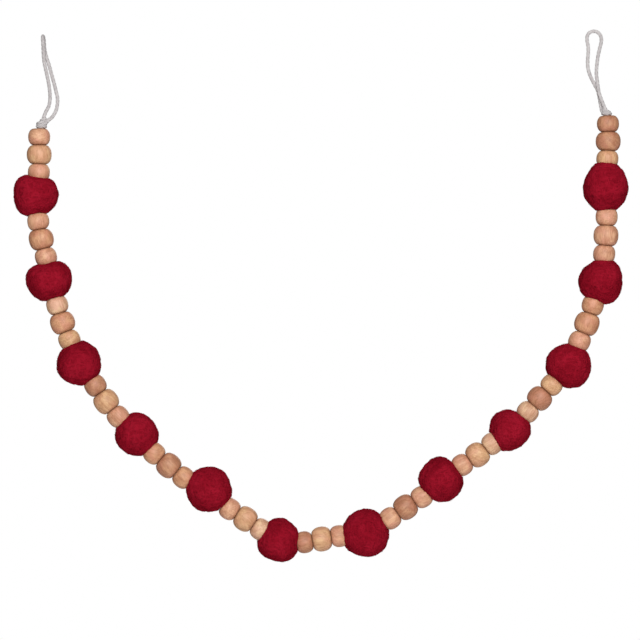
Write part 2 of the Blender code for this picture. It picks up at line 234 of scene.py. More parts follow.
# Hanging loops, from the knot up one strand, round the top and down the other strand to the knot
LOOPS = {
    "left": (
        (0.8, 0.0, -43.4),
        (1.6, 0.0, -41.4),
        (3.2, 0.0, -38.4),
        (3.9, 0.0, -34.4),
        (3.7, 0.0, -29.3),
        (2.8, 0.0, -23.7),
        (1.6, -0.2, -18.1),
        (0.7, -0.7, -13.6),
        (0.4, -1.6, -9.7),
        (0.4, -3.1, -6.0),
        (0.3, -4.0, -3.0),
        (0.1, -2.9, -0.2),
        (0.0, 0.0, 0.95),
        (0.1, 2.9, -0.2),
        (0.3, 4.0, -3.0),
        (0.6, 3.1, -6.2),
        (1.5, 1.6, -9.7),
        (2.4, 0.7, -12.5),
        (3.5, 0.3, -15.8),
        (4.7, 0.0, -20.3),
        (6.0, 0.0, -24.8),
        (7.1, 0.0, -29.3),
        (8.1, 0.0, -33.8),
        (7.9, 0.0, -38.3),
        (6.8, 0.0, -41.9),
        (4.8, 0.0, -44.9),
        (3.4, 0.0, -45.9),
    ),
    "right": (
        (313.5, 1.2, -38.3),
        (313.2, 1.2, -36.4),
        (312.6, 1.2, -33.3),
        (311.8, 1.2, -29.6),
        (310.1, 0.9, -26.4),
        (308.3, 0.4, -23.1),
        (306.9, 0.1, -19.8),
        (306.1, 0.0, -16.4),
        (306.0, 0.0, -12.5),
        (306.3, 0.0, -8.5),
        (306.3, 0.0, -5.0),
        (305.7, 0.0, -1.8),
        (305.8, 0.0, 1.2),
        (307.2, 0.0, 3.1),
        (309.4, 0.0, 3.75),
        (311.7, 0.0, 3.1),
        (313.3, 0.0, 1.1),
        (313.7, 0.0, -1.8),
        (312.9, 0.0, -5.4),
        (312.1, 0.0, -8.7),
        (311.5, 0.0, -12.5),
        (311.0, 0.0, -17.0),
        (310.9, -0.3, -20.9),
        (311.2, -0.8, -23.7),
        (311.7, -1.1, -27.6),
        (312.3, -1.2, -31.0),
        (313.2, -1.2, -33.8),
        (314.2, -1.1, -36.4),
        (314.9, -0.9, -38.1),
    ),
}

# The camera's view in millimetres: the width that the picture takes in, and its middle
VIEW_WIDTH = 359.6
VIEW_MIDDLE = (155.6, -158.5)

# The studio in metres: each softbox's size, how far the front and back ones stand off the middle, how
# far the floor's one hangs below the garland and looks down, and the floor's disc
FRONT_SIZE = 0.9
FRONT_PLACE = (0.1, -1.4, 0.5)
BACK_SIZE = 0.8
BACK_PLACE = (0.25, 1.5, 0.35)
UNDER_SIZE = 2.2
UNDER_DROP = 0.15
UNDER_AIM = 1.0
FLOOR_RADIUS = 1.9
FLOOR_SIDES = 96


class Wire:
    """An output of a node. Arithmetic on it adds Math or Vector Math nodes to its tree."""

    def __init__(self, board, socket):
        self.board = board
        self.socket = socket

    def other(self, name):
        """Another output of the same node."""
        return Wire(self.board, self.socket.node.outputs[name])

    def maths(self, operation, *parts):
        return self.board.maths(operation, self, *parts)

    def __add__(self, other):
        return self.maths("ADD", other)

    def __radd__(self, other):
        return self.board.maths("ADD", other, self)

    def __sub__(self, other):
        return self.maths("SUBTRACT", other)

    def __rsub__(self, other):
        return self.board.maths("SUBTRACT", other, self)

    def __mul__(self, other):
        return self.maths("MULTIPLY", other)

    def __rmul__(self, other):
        return self.board.maths("MULTIPLY", other, self)

    def __truediv__(self, other):
        return self.maths("DIVIDE", other)

    def __rtruediv__(self, other):
        return self.board.maths("DIVIDE", other, self)

    def __pow__(self, other):
        return self.maths("POWER", other)

    def __gt__(self, other):
        return self.maths("GREATER_THAN", other)

    def __lt__(self, other):
        return self.maths("LESS_THAN", other)

    def __abs__(self):
        return self.maths("ABSOLUTE")

    def sin(self):
        return self.maths("SINE")

    def cos(self):
        return self.maths("COSINE")

    def root(self):
        return self.maths("SQRT")

    def at_least(self, low):
        return self.maths("MAXIMUM", low)

    def at_most(self, high):
        return self.maths("MINIMUM", high)

    def step(self, low, high):
        """0 below low, 1 above high, and smooth between."""
        sockets = {"Value": self, "From Min": low, "From Max": high}
        return self.board.add("ShaderNodeMapRange", {"interpolation_type": "SMOOTHSTEP"}, sockets)

    def axis(self, name):
        """One part of a vector."""
        return self.board.add("ShaderNodeSeparateXYZ", {}, {"Vector": self}).other(name)


class Board:
    """A node tree and the calls that fill it."""

    def __init__(self, tree):
        self.tree = tree

    def add(self, kind, settings=None, sockets=None):
        """A node of this kind, its settings made first, then the values and links of its inputs."""
        node = self.tree.nodes.new(kind)
        for name, value in (settings or {}).items():
            if name == "stops":
                self.set_stops(node.color_ramp, value)
            else:
                setattr(node, name, value)
        for name, value in (sockets or {}).items():
            for part in value if isinstance(value, list) else [value]:
                self.feed(node.inputs[name], part)
        outputs = [socket for socket in node.outputs if socket.enabled]
        return Wire(self, outputs[0]) if outputs else None

    def feed(self, socket, value):
        """Link a wire to an input, or set the input's own value."""
        if isinstance(value, Wire):
            self.tree.links.new(value.socket, socket)
        else:
            socket.default_value = value

    def set_stops(self, ramp, stops):
        """Fill a colour ramp from (place, colour) pairs."""
        while len(ramp.elements) < len(stops):
            ramp.elements.new(1.0)
        for element, (place, colour) in zip(ramp.elements, stops):
            element.position = place
            element.color = (*colour, 1.0)

    def maths(self, operation, *parts):
        """A Math node, or a Vector Math node where any part is a vector."""
        wires = [part for part in parts if isinstance(part, Wire)]
        vector = any(wire.socket.type in ("VECTOR", "RGBA") for wire in wires)
        kind = "ShaderNodeVectorMath" if vector else "ShaderNodeMath"
        sockets = {}
        for index, part in enumerate(parts):
            number = isinstance(part, (int, float))
            sockets[index] = (part,) * 3 if vector and number else part
        return self.add(kind, {"operation": operation}, sockets)

    def vector(self, x=0.0, y=0.0, z=0.0):
        """A vector from three values or wires."""
        return self.add("ShaderNodeCombineXYZ", {}, {"X": x, "Y": y, "Z": z})

    def blend(self, share, first, second):
        """A colour between two colours."""
        settings = {"data_type": "RGBA"}
        parts = {0: share, 6: first, 7: second}
        for index in (6, 7):
            if not isinstance(parts[index], Wire):
                parts[index] = (*parts[index], 1.0)
        return self.add("ShaderNodeMix", settings, parts)

    def noise(self, place, scale, detail=2.0, roughness=0.5):
        """How much of a soft random pattern lies at a place, from 0 to 1."""
        sockets = {"Vector": place, "Scale": scale, "Detail": detail, "Roughness": roughness}
        return self.add("ShaderNodeTexNoise", {}, sockets)


class Recipe(Board):
    """A Geometry Nodes tree with named inputs."""

    SOCKETS = {
        "float": "NodeSocketFloat",
        "length": "NodeSocketFloat",
        "int": "NodeSocketInt",
        "vector": "NodeSocketVector",
        "material": "NodeSocketMaterial",
        "geometry": "NodeSocketGeometry",
    }

    def __init__(self, name, inputs):
        super().__init__(bpy.data.node_groups.new(name, "GeometryNodeTree"))
        self.tree.interface.new_socket("Geometry", in_out="OUTPUT", socket_type="NodeSocketGeometry")
        self.labels = {}
        for label, kind in inputs:
            socket = self.tree.interface.new_socket(label, in_out="INPUT", socket_type=self.SOCKETS[kind])
            if kind == "length":
                socket.subtype = "DISTANCE"
            self.labels[label] = socket.identifier
        self.entry = self.tree.nodes.new("NodeGroupInput")

    def given(self, label):
        """The value of a named input."""
        return Wire(self, self.entry.outputs[label])

    def deliver(self, geometry):
        """End the tree: real meshes, smooth, in the given material."""
        real = self.add("GeometryNodeRealizeInstances", {}, {"Geometry": geometry})
        smooth = self.add("GeometryNodeSetShadeSmooth", {}, {"Geometry": real})
        finish = {"Geometry": smooth, "Material": self.given("Material")}
        done = self.add("GeometryNodeSetMaterial", {}, finish)
        exit_node = self.tree.nodes.new("NodeGroupOutput")
        self.tree.links.new(done.socket, exit_node.inputs["Geometry"])
        return self

    def make(self, name, base, values):
        """A plain mesh object that the recipe makes from a base mesh or curve and the given values."""
        maker = bpy.data.objects.new(f"{name}_maker", base)
        bpy.context.scene.collection.objects.link(maker)
        modifier = maker.modifiers.new(self.tree.name, "NODES")
        modifier.node_group = self.tree
        for label, value in values.items():
            modifier[self.labels[label]] = value
        depsgraph = bpy.context.evaluated_depsgraph_get()
        mesh = bpy.data.meshes.new_from_object(maker.evaluated_get(depsgraph), depsgraph=depsgraph)
        bpy.data.objects.remove(maker)
        mesh.name = name
        while len(mesh.materials) > 1:
            mesh.materials.pop(index=0)
        piece = bpy.data.objects.new(name, mesh)
        bpy.context.scene.collection.objects.link(piece)
        return piece


def smooth_curve(points):
    """A Catmull-Rom curve through the points, as a fine chain of points."""
    points = [Vector(point) for point in points]
    run = [2 * points[0] - points[1], *points, 2 * points[-1] - points[-2]]
    curve = []
    for before, start, end, after in zip(run, run[1:], run[2:], run[3:]):
        for step in range(CURVE_STEPS):
            t = step / CURVE_STEPS
            slope = end - before
            bend = 2 * before - 5 * start + 4 * end - after
            twist = 3 * start - before - 3 * end + after
            curve.append(start + 0.5 * (slope * t + bend * t**2 + twist * t**3))
    return curve + [points[-1]]


def distances(curve):
    """How far along the curve each of its points lies."""
    run = [0.0]
    for start, end in zip(curve, curve[1:]):
        run.append(run[-1] + (end - start).length)
    return run


def point_along(curve, run, distance):
    """The point at this distance along the curve."""
    for number, (low, high) in enumerate(zip(run, run[1:])):
        if distance <= high:
            return curve[number].lerp(curve[number + 1], (distance - low) / (high - low))
    return curve[-1]


def even_points(route, spacing):
    """Points at an even spacing on the smooth curve through a route."""
    curve = smooth_curve(route)
    run = distances(curve)
    count = round(run[-1] / spacing)
    return [point_along(curve, run, run[-1] * step / count) for step in range(count + 1)]


def ease(start, start_way, end, end_way):
    """A chain of points that leaves one point and reaches another in the given directions."""
    reach = (end - start).length
    curve = []
    for step in range(CURVE_STEPS):
        t = step / CURVE_STEPS
        leave = (2 * t**3 - 3 * t**2 + 1) * start + (t**3 - 2 * t**2 + t) * reach * start_way
        arrive = (3 * t**2 - 2 * t**3) * end + (t**3 - t**2) * reach * end_way
        curve.append(leave + arrive)
    return curve


def heading_way(degrees):
    """The direction this many degrees above +X."""
    angle = math.radians(degrees)
    return Vector((math.cos(angle), 0.0, math.sin(angle)))


def string_contacts():
    """The points on the string where one piece meets the next, from its left end to its right end."""
    three_length = 2 * SMALL_LENGTH + LARGE_LENGTH
    shares = (SMALL_LENGTH / three_length, 1 - SMALL_LENGTH / three_length)
    reached, way = Vector((STRING_START[0], 0.0, STRING_START[1])), heading_way(START_HEADING)
    contacts = [reached]
    for number, three in enumerate(THREES):
        if number < len(BALLS):
            ball = BALLS[number]
            next_way = heading_way(ball.heading)
            middle = Vector((ball.x, 0.0, ball.z))
            bore = [middle - next_way * ball.seat / 2, middle + next_way * ball.seat / 2]
        else:
            next_way = heading_way(END_HEADING)
            bore = [Vector((STRING_END[0], 0.0, STRING_END[1]))]
        large = Vector((three.x, 0.0, three.z))
        large_way = (bore[0] - reached).normalized()
        curve = ease(reached, way, large, large_way) + ease(large, large_way, bore[0], next_way) + bore[:1]
        run = distances(curve)
        contacts += [point_along(curve, run, share * run[-1]) for share in shares] + bore
        reached, way = bore[-1], next_way
    return contacts


def bend_between(before, after):
    """The angle that the string turns by towards the inside of the swag, from one piece to the next."""
    return math.atan2(before.x * after.z - before.z * after.x, before.dot(after))


def string_seats():
    """The seat of each piece on the string, from one contact to the next.

    Where two beads meet, each end leans by half of the string's bend there, so that the faces lie flat.
    """
    contacts = string_contacts()
    ways = [(end - start).normalized() for start, end in zip(contacts, contacts[1:])]
    leans = [0.0]
    for number, (before, after) in enumerate(zip(ways, ways[1:])):
        by_ball = REPEAT - 1 in (number % REPEAT, (number + 1) % REPEAT)
        leans.append(0.0 if by_ball else math.tan(bend_between(before, after) / 2))
    leans.append(0.0)
    seats = []
    for number, way in enumerate(ways):
        middle = (contacts[number] + contacts[number + 1]) / 2
        length = (contacts[number + 1] - contacts[number]).length - 2 * TOUCH
        seats.append(Seat(middle, way, length, leans[number], leans[number + 1]))
    return seats


def seat_turn(seat):
    """The turn that brings Z along the string and X to the inside of the swag."""
    inward = Vector((-seat.way.z, 0.0, seat.way.x))
    return Matrix((inward, Vector((0.0, -1.0, 0.0)), seat.way)).transposed()


def new_material(name):
    """A material, the board of its node tree and its main shader node."""
    material = bpy.data.materials.new(name)
    material.use_nodes = True
    board = Board(material.node_tree)
    return material, board, material.node_tree.nodes["Principled BSDF"]


def finish_surface(board, shader, colour, roughness, height, depth):
    """Feed a shader its varying colour and roughness, and a bump of this height in metres."""
    board.feed(shader.inputs["Base Color"], colour)
    board.feed(shader.inputs["Roughness"], roughness)
    bump = board.add("ShaderNodeBump", {}, {"Strength": 1.0, "Distance": depth, "Height": height})
    board.feed(shader.inputs["Normal"], bump)


def tinted(colour, factors):
    """A colour with each of its parts made stronger or weaker, up to full."""
    return [min(part * factor, 1.0) for part, factor in zip(colour, factors)]


def felt_material(felt):
    """Crimson wool felt: cloudy in large, streaked by matted wool, and lighter on its loose fibres."""
    material, board, shader = new_material("matted_wool")
    place = board.add("ShaderNodeTexCoord").other("Object")
    warp = board.add("ShaderNodeTexNoise", {}, {"Vector": place, "Scale": 110.0, "Detail": 1.0})
    bent = place + warp.other("Color") * 0.006
    patches = board.noise(place, 80.0, 1.0)
    clouds = board.noise(place, 190.0, 2.0)
    streaks = []
    for turn, longest in FELT_STREAKS:
        laid = board.add("ShaderNodeMapping", {}, {"Vector": bent, "Rotation": turn, "Scale": longest})
        streaks.append(board.noise(laid, 800.0, 2.0, 0.5).step(0.44, 0.66))
    matting = streaks[0].at_least(streaks[1]).at_least(streaks[2] * 0.9)
    tufts = board.noise(place, 1500.0, 3.0, 0.65)
    fibre = board.add("ShaderNodeAttribute", {"attribute_name": "fibre"}).other("Fac")
    body = (patches * 0.8 + clouds * 0.5 + tufts * 0.15 + matting * 0.35).step(0.45, 1.25)
    wool = board.blend(body, felt.deep_colour, felt.colour)
    lit = matting * (patches * 0.7 + clouds * 0.6).step(0.5, 0.85)
    colour = board.blend(fibre * 0.45 + lit * 0.35, wool, felt.light_colour)
    finish_surface(board, shader, colour, 0.9 + 0.1 * tufts, matting * 0.8 + tufts * 0.22, 0.00018)
    shader.inputs["Specular IOR Level"].default_value = 0.0
    return material


def wood_material(tone, colour):
    """Bare turned wood of one tone: soft bands, fine long grain, small pores and darker ends, partly stain
    and partly painted shade where beads meet.
    """
    material, board, shader = new_material(f"turned_wood_{tone}")
    grain_place = board.add("ShaderNodeAttribute", {"attribute_name": "grain_place"}).other("Vector")
    station = board.add("ShaderNodeAttribute", {"attribute_name": "station"}).other("Fac")
    band_place = board.add("ShaderNodeMapping", {}, {"Vector": grain_place, "Scale": (1.0, 0.5, 0.16)})
    bands = board.noise(band_place, 520.0, 2.0, 0.6)
    long_place = board.add("ShaderNodeMapping", {}, {"Vector": grain_place, "Scale": (1.0, 1.0, 0.12)})
    grain = board.noise(long_place, 1500.0, 3.0, 0.6)
    clouds = board.noise(grain_place, 210.0, 1.0)
    blush = board.noise(grain_place + (0.3, 0.1, 0.7), 170.0, 1.0).step(0.40, 0.60)
    pore_place = board.add("ShaderNodeMapping", {}, {"Vector": grain_place, "Scale": (1.0, 1.0, 0.3)})
    pores = board.noise(pore_place, 1900.0, 2.0, 0.6).step(0.60, 0.74)
    deep, light, rosy = (tinted(colour, factors) for factors in (WOOD_DEEP, WOOD_LIGHT, WOOD_ROSY))
    streak = (grain * 0.8 + bands * 0.8 + clouds * 0.5).step(0.76, 1.34)
    wood = board.blend(streak, deep, light)
    blushed = board.blend(blush * 0.8, wood, board.blend(streak, deep, rosy))
    pored = board.blend(pores * 0.6, blushed, [part * WOOD_PORE for part in deep])
    # Darker towards each end: partly stain, partly painted shade where the beads meet
    end_stain_and_shade = station.step(0.74, 1.02)
    stained_and_shaded = board.blend(end_stain_and_shade * 0.55, pored, BEAD_END_STAIN_AND_SHADE)
    finish_surface(board, shader, stained_and_shaded, 0.46 + 0.16 * grain, grain * 0.5 - pores, 0.00005)
    shader.inputs["Specular IOR Level"].default_value = 0.5
    return material


def cotton_material(cord):
    """Undyed cotton cord: fine yarns along each ply with painted shade between them, greyer here and there.
    """
    material, board, shader = new_material("twisted_cotton")
    place = board.add("ShaderNodeTexCoord").other("Object")
    run = board.add("ShaderNodeAttribute", {"attribute_name": "ply_run"}).other("Fac")
    around = board.add("ShaderNodeAttribute", {"attribute_name": "ply_round"}).other("Fac")
    yarns = ((around * 5.0 + run * 3.0) * TAU).sin() * 0.5 + 0.5
    clouds = board.noise(place, 420.0, 2.0, 0.6)
    hairs = board.noise(place, 4200.0, 2.0, 0.6)
    # Darker between the yarns as painted shade, and greyer in random patches
    shade = (yarns * 0.3 + clouds * 0.9 + hairs * 0.2).step(0.35, 1.05)
    colour = board.blend(shade, tinted(cord.colour, COTTON_GREY_AND_SHADE), cord.colour)
    finish_surface(board, shader, colour, 0.85 + 0.1 * clouds, yarns * 0.6 + hairs * 0.4, 0.00005)
    shader.inputs["Specular IOR Level"].default_value = 0.1
    return material


def floor_material(colour):
    """A pale matt floor with a faint unevenness."""
    material, board, shader = new_material("studio_floor")
    place = board.add("ShaderNodeTexCoord").other("Object")
    clouds = board.noise(place, 3.0, 2.0)
    dim = [part * FLOOR_DIM for part in colour]
    board.feed(shader.inputs["Base Color"], board.blend(clouds, dim, colour))
    shader.inputs["Roughness"].default_value = 0.9
    return material


def once(name, make):
    """The material of this name, made if it isn't there yet."""
    return bpy.data.materials.get(name) or make()


def cord_recipe():
    """Plies wound round a path, each a round rod that also carries its run and its turn."""
    recipe = Recipe("twisted cord", (
        ("Geometry", "geometry"), ("Plies", "int"), ("Ply Radius", "length"), ("Lay Radius", "length"),
        ("Pitch", "length"), ("Step", "length"), ("Sides", "int"), ("Material", "material"),
    ))
    fine = recipe.add("GeometryNodeResampleCurve", {"mode": "LENGTH"},
                      {"Curve": recipe.given("Geometry"), "Length": recipe.given("Step")})
    plies = recipe.add("GeometryNodeDuplicateElements", {"domain": "SPLINE"},
                       {"Geometry": fine, "Amount": recipe.given("Plies")})
    length = recipe.add("GeometryNodeSplineParameter").other("Length")
    turns = length / recipe.given("Pitch") + plies.other("Duplicate Index") / recipe.given("Plies")
    normal = recipe.add("GeometryNodeInputNormal")
    side = recipe.add("GeometryNodeInputTangent").maths("CROSS_PRODUCT", normal)
    reach = recipe.given("Lay Radius")
    offset = normal * ((turns * TAU).cos() * reach) + side * ((turns * TAU).sin() * reach)
    kept = recipe.add("GeometryNodeStoreNamedAttribute", {"data_type": "FLOAT", "domain": "POINT"},
                      {"Geometry": plies, "Name": "ply_run", "Value": turns})
    wound = recipe.add("GeometryNodeSetPosition", {}, {"Geometry": kept, "Offset": offset})
    ring = recipe.add("GeometryNodeCurvePrimitiveCircle", {"mode": "RADIUS"},
                      {"Resolution": recipe.given("Sides"), "Radius": recipe.given("Ply Radius")})
    round_share = recipe.add("GeometryNodeSplineParameter").other("Factor")
    marked = recipe.add("GeometryNodeStoreNamedAttribute", {"data_type": "FLOAT", "domain": "POINT"},
                        {"Geometry": ring, "Name": "ply_round", "Value": round_share})
    rods = recipe.add("GeometryNodeCurveToMesh", {},
                      {"Curve": wound, "Profile Curve": marked, "Fill Caps": True})
    return recipe.deliver(rods)


def bead_recipe():
    """A turned bead: a grid rolled into its section, with a barrel side, rounded lips and a bore."""
    recipe = Recipe("turned bead", (
        ("Geometry", "geometry"), ("Width", "length"), ("Length", "length"), ("Bore", "length"),
        ("Face", "float"), ("Roundness", "float"), ("Lip", "length"), ("Start Lean", "float"),
        ("End Lean", "float"), ("Sides", "int"), ("Grain Turn", "vector"), ("Grain Place", "vector"),
        ("Place", "vector"), ("Turn", "vector"), ("Material", "material"),
    ))
    rows, side_rows, bore_rows = 41, 28, 10
    spot = recipe.add("GeometryNodeInputPosition")
    angle = (spot.axis("X") + 0.5) * TAU
    row = (spot.axis("Y") + 0.5) * (rows - 1)
    grid = recipe.add("GeometryNodeMeshGrid", {}, {
        "Size X": 1.0, "Size Y": 1.0, "Vertices X": recipe.given("Sides") + 1, "Vertices Y": rows})
    before_last = row < rows - 1.5
    in_bore = (row > side_rows + 0.5) * before_last
    side_station = ((row * before_last / side_rows).at_most(1.0) * math.pi).cos()
    bore_share = ((row - (side_rows + 1)) / bore_rows).at_least(0.0).at_most(1.0)
    bore_station = 0.0 - (bore_share * math.pi).cos()
    station = side_station * (1 - in_bore) + bore_station * in_bore
    half = recipe.given("Length") / 2
    lip = recipe.given("Lip")
    edge = ((abs(station) - 1) * half / lip + 1).at_least(0.0).at_most(1.0)
    rounding = lip * (1 - (1 - edge * edge).root())
    taper = (1 - recipe.given("Face") ** 2) * abs(station) ** recipe.given("Roundness")
    barrel = recipe.given("Width") / 2 * (1 - taper).root() - rounding
    hole = recipe.given("Bore") + rounding
    radius = barrel * (1 - in_bore) + hole * in_bore
    inward = radius * angle.cos()
    end_lean = station.at_least(0.0) * recipe.given("End Lean")
    start_lean = (0.0 - station).at_least(0.0) * recipe.given("Start Lean")
    height = station * half - inward * (end_lean - start_lean)
    marked = recipe.add("GeometryNodeStoreNamedAttribute", {"data_type": "FLOAT", "domain": "POINT"},
                        {"Geometry": grid, "Name": "station", "Value": abs(station)})
    rolled = recipe.add("GeometryNodeSetPosition", {}, {
        "Geometry": marked, "Position": recipe.vector(inward, radius * angle.sin(), height)})
    closed = recipe.add("GeometryNodeMergeByDistance", {}, {"Geometry": rolled, "Distance": MERGE})
    spot_now = recipe.add("GeometryNodeInputPosition")
    turned = recipe.add("ShaderNodeVectorRotate", {"rotation_type": "EULER_XYZ"},
                        {"Vector": spot_now, "Rotation": recipe.given("Grain Turn")})
    grain_place = turned + recipe.given("Grain Place")
    grained = recipe.add("GeometryNodeStoreNamedAttribute", {"data_type": "FLOAT_VECTOR", "domain": "POINT"},
                         {"Geometry": closed, "Name": "grain_place", "Value": grain_place})
    turn = recipe.add("FunctionNodeEulerToRotation", {}, {"Euler": recipe.given("Turn")})
    placed = recipe.add("GeometryNodeTransform", {}, {
        "Geometry": grained, "Translation": recipe.given("Place"), "Rotation": turn})
    return recipe.deliver(placed)


def fibre_recipe():
    """A felt body with short bent fibres matted over its open surface."""
    recipe = Recipe("matted fibres", (
        ("Geometry", "geometry"), ("Density", "float"), ("Fibre Length", "length"),
        ("Fibre Width", "length"), ("Lift", "length"), ("Seed", "int"), ("Material", "material"),
    ))
    body = recipe.given("Geometry")
    bare = recipe.add("GeometryNodeInputNamedAttribute", {"data_type": "FLOAT"}, {"Name": "open_wool"})
    points = recipe.add("GeometryNodeDistributePointsOnFaces", {"distribute_method": "RANDOM"}, {
        "Mesh": body, "Density": recipe.given("Density") * bare, "Seed": recipe.given("Seed")})
    reach = recipe.given("Fibre Length") / 2
    lift = recipe.given("Lift")
    arc = recipe.add("GeometryNodeCurveQuadraticBezier", {}, {
        "Resolution": 3,
        "Start": recipe.vector(0.0 - reach, 0.0, 0.0 - lift / 2),
        "Middle": recipe.vector(0.0, reach * 0.25, lift * 2.5),
        "End": recipe.vector(reach, 0.0, 0.0 - lift / 2),
    })
    ring = recipe.add("GeometryNodeCurvePrimitiveCircle", {"mode": "RADIUS"},
                      {"Resolution": 3, "Radius": recipe.given("Fibre Width") / 2})
    hair = recipe.add("GeometryNodeCurveToMesh", {},
                      {"Curve": arc, "Profile Curve": ring, "Fill Caps": True})
    tilt = recipe.add("FunctionNodeRandomValue", {"data_type": "FLOAT_VECTOR"},
                      {0: FIBRE_TILT[0], 1: FIBRE_TILT[1], "Seed": 1})
    spin = recipe.add("FunctionNodeEulerToRotation", {}, {"Euler": tilt})
    stand = recipe.add("FunctionNodeRotateRotation", {"rotation_space": "LOCAL"},
                       {"Rotation": points.other("Rotation"), "Rotate By": spin})
    size = recipe.add("FunctionNodeRandomValue", {"data_type": "FLOAT_VECTOR"},
                      {0: FIBRE_SIZE[0], 1: FIBRE_SIZE[1], "Seed": 2})
    hairs = recipe.add("GeometryNodeInstanceOnPoints", {}, {
        "Points": points, "Instance": hair, "Rotation": stand, "Scale": size})
    shade = recipe.add("FunctionNodeRandomValue", {"data_type": "FLOAT"}, {2: 0.1, 3: 1.0, "Seed": 3})
    toned = recipe.add("GeometryNodeStoreNamedAttribute", {"data_type": "FLOAT", "domain": "INSTANCE"},
                       {"Geometry": hairs, "Name": "fibre", "Value": shade})
    both = recipe.add("GeometryNodeJoinGeometry", {}, {"Geometry": [body, toned]})
    return recipe.deliver(both)


def curve_of(name, routes):
    """A curve of one open spline for each route, from points in millimetres."""
    curve = bpy.data.curves.new(name, "CURVE")
    curve.dimensions = "3D"
    for route in routes:
        spline = curve.splines.new("POLY")
        spline.points.add(len(route) - 1)
        for target, point in zip(spline.points, route):
            target.co = (*(Vector(point) * MM), 1.0)
    return curve


def cord_values(cord, material):
    """The cord recipe's values from the garland's settings."""
    return {
        "Plies": cord.plies, "Ply Radius": cord.ply_width / 2,
        "Lay Radius": (cord.width - cord.ply_width) / 2, "Pitch": cord.pitch,
        "Step": PLY_STEP, "Sides": PLY_SIDES, "Material": material,
    }


def dress(piece, node):
    """Let a finished piece ride on the garland in place of its solid."""
    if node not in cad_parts:
        raise RuntimeError(f"the garland has no solid named {node}")
    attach(piece, BODY)
    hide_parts(node)


def knot_routes(end):
    """The cord's turns up one knot, its core, and the strands that the loop brings into it."""
    foot = Vector(KNOT_FEET[end])
    wraps = smooth_curve([wrap[1:] for wrap in KNOT_WRAPS[end]])
    turns = smooth_curve([(wrap.turn, 0.0, 0.0) for wrap in KNOT_WRAPS[end]])
    winding = []
    for (up, reach, shift), turn in zip(wraps, turns):
        angle = TAU * turn.x + KNOT_START
        tilt = KNOT_TILT * (up - CORD_RADIUS) * math.cos(angle)
        off = Vector((shift + reach * math.cos(angle), reach * math.sin(angle), up + tilt))
        winding.append(foot + off)
    top = wraps[-1]
    core_top = Vector((top.z, 0.0, top.x + CORD_RADIUS))
    core = [foot + core_top * share for share in CORE_SHARES]
    return [winding, smooth_curve(core), *(smooth_curve(entry) for entry in KNOT_ENTRIES[end])]


def bead_surface(radius, width, length):
    """How far from a bead's middle its side lies at this radius, along its axis."""
    share = min(radius / (width / 2), 1.0)
    station = ((1 - share**2) / (1 - BEAD_FACE**2)) ** (1 / BEAD_ROUNDNESS)
    return min(station, 1.0) * length / 2


def soft_highest(first, second, edge):
    """The higher of two values, eased where they are nearly equal."""
    near = max(edge - abs(first - second), 0.0) / edge
    return max(first, second) + near * near * edge / 4


def press(point, bead, facing, width):
    """Move a point of felt along the string until it lies on the bead that presses in there."""
    away = point - bead.centre
    height = away.dot(bead.way) * facing
    radius = (away - away.dot(bead.way) * bead.way).length
    if radius > width / 2:
        return point
    surface = bead_surface(max(radius - CUP_GAP, 0.0), width, bead.length) + CUP_GAP
    return point + bead.way * facing * (soft_highest(height, surface, SOFT_EDGE) - height)


def felt_offset(ball, number, point):
    """How far a point of a felt ball is moved by its corners, lobes and lumps, and off its bore."""
    facing = math.hypot(point.x, point.z) / point.length
    angle = math.atan2(point.x, point.z)
    corners = -ball.boxy * math.cos(CORNERS * angle)
    lobes = ball.three * math.cos(LOBES * (angle - math.radians(ball.three_at)))
    lumps = sum(LUMP * math.sin(Vector(wave[:3]).dot(point) + wave.turn * number) for wave in WAVES)
    outward = point.normalized() * (facing**2 * (corners + lobes) + lumps)
    return outward + Vector((ball.off, 0.0, ball.lead))


def steady_corners(face):
    """A face's corners from its lowest vertex on, so that each run scatters the fibres alike."""
    corners = [vertex.index for vertex in face.verts]
    first = corners.index(min(corners))
    return corners[first:] + corners[:first]


